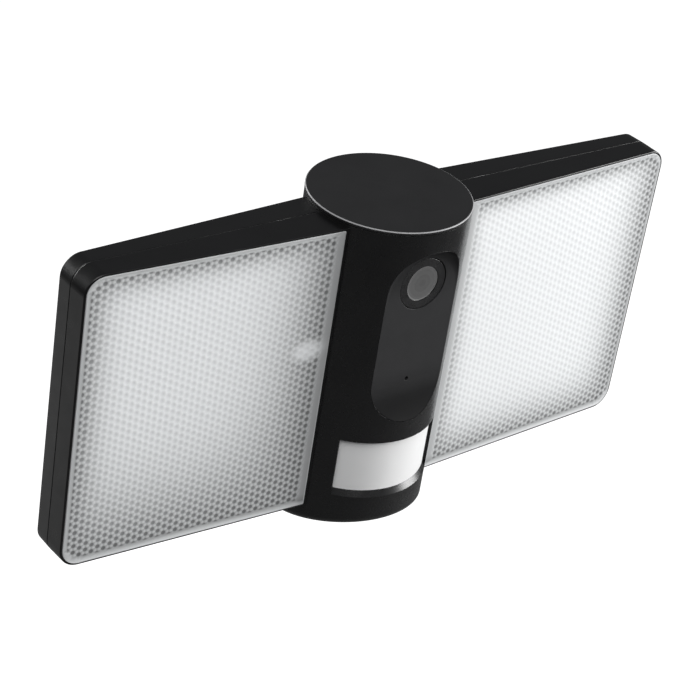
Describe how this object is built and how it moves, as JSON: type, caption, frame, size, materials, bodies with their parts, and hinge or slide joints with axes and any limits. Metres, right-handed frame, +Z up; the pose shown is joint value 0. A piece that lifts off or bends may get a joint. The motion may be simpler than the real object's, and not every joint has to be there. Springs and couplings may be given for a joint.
{
  "type": "floodlight security camera",
  "caption": "Wall-mounted camera: an upright cylinder with a camera window and a motion sensor, two wide flat light panels, and a pan and tilt bracket on a round canopy.",
  "frame": {"origin": "centre of the wall gasket's back face, on the wall plane", "axes": "+X along the two light panels, +Y into the wall, -Y the way the camera looks, +Z up"},
  "size_m": [0.3634, 0.1464, 0.1893],
  "materials": {
    "housing": "satin moulded, UV-stable",
    "cap": "fine satin",
    "face": "satin",
    "bezel": "gloss",
    "lens_glass": "coated camera window",
    "diffuser": "frosted translucent, honeycomb prisms",
    "pir_film": "satin milky film",
    "white_liner": "matt white",
    "seal_rubber": "matt",
    "metal_board": "white solder mask on a metal core",
    "led_package": "phosphor",
    "connector_plastic": "natural nylon",
    "wire_insulation": "smooth",
    "circuit_board": "solder mask",
    "chip_plastic": "moulded epoxy",
    "inner_plastic": "as moulded",
    "screw_steel": "zinc plated",
    "black_steel": "black zinc",
    "die_cast": "powder coat, fine texture",
    "spreader": "extruded",
    "sensor_metal": "plated can",
    "knob_plastic": "as moulded",
    "washer_nylon": "natural nylon"
  },
  "bodies": {
    "mount": {"canopy": "die_cast", "wall_gasket": "seal_rubber", "crossbar": "screw_steel", "canopy_studs": "screw_steel", "canopy_nuts": "black_steel", "canopy_gland": "seal_rubber", "pan_bolt": "black_steel", "pan_nut": "black_steel"},
    "knuckle": {"pan_knuckle": "die_cast", "friction_washers": "washer_nylon"},
    "head": {"body_shell": "housing", "top_cap": "cap", "top_seal": "seal_rubber", "face_plate": "face", "lens_bezel": "bezel", "lens_window": "lens_glass", "camera_module": "chip_plastic", "camera_board": "circuit_board", "pir_window": "pir_film", "pir_sensor": "sensor_metal", "microphone": "sensor_metal", "bottom_cover": "housing", "bottom_seal": "seal_rubber", "card_slot": "sensor_metal", "speaker": "chip_plastic", "chassis": "inner_plastic", "main_board": "circuit_board", "board_chips": "chip_plastic", "heat_sink": "spreader", "power_board": "circuit_board", "rear_bracket": "die_cast", "head_gland": "seal_rubber", "core_screws": "screw_steel", "tilt_bolt": "black_steel", "panel_screws": "screw_steel", "board_screws": "screw_steel", "right_wing_frame": "housing", "right_wing_back": "housing", "right_diffuser": "diffuser", "right_diffuser_seal": "seal_rubber", "right_reflector": "white_liner", "right_led_board": "metal_board", "right_leds": "led_package", "right_led_connector": "connector_plastic", "right_led_lead": "wire_insulation", "right_lead_gland": "seal_rubber", "left_wing_frame": "housing", "left_wing_back": "housing", "left_diffuser": "diffuser", "left_diffuser_seal": "seal_rubber", "left_reflector": "white_liner", "left_led_board": "metal_board", "left_leds": "led_package", "left_led_connector": "connector_plastic", "left_led_lead": "wire_insulation", "left_lead_gland": "seal_rubber"},
    "knob": {"tilt_knob": "knob_plastic"},
    "door": {"service_door": "seal_rubber"},
    "button": {"reset_button": "inner_plastic"}
  },
  "joints": [
    {"name": "head_pan", "type": "hinge", "parent": "mount", "child": "knuckle", "pos_m": [0, -0.036, 0], "axis": [0, 0, 1], "range_deg": [-20, 20]},
    {"name": "head_tilt", "type": "hinge", "parent": "knuckle", "child": "head", "pos_m": [0, -0.05, 0], "axis": [1, 0, 0], "range_deg": [-12, 30]},
    {"name": "tilt_knob_turn", "type": "hinge", "parent": "head", "child": "knob", "pos_m": [0.02, -0.05, 0], "axis": [1, 0, 0], "continuous": true},
    {"name": "service_door_swing", "type": "hinge", "parent": "head", "child": "door", "pos_m": [0, -0.08612, -0.05489], "axis": [1, 0, 0], "range_deg": [0, 95]},
    {"name": "reset_button_press", "type": "slide", "parent": "head", "child": "button", "axis": [0, 0.2164, 0.9763], "range_m": [0, 0.0008], "stiffness_N_per_m": 500}
  ]
}
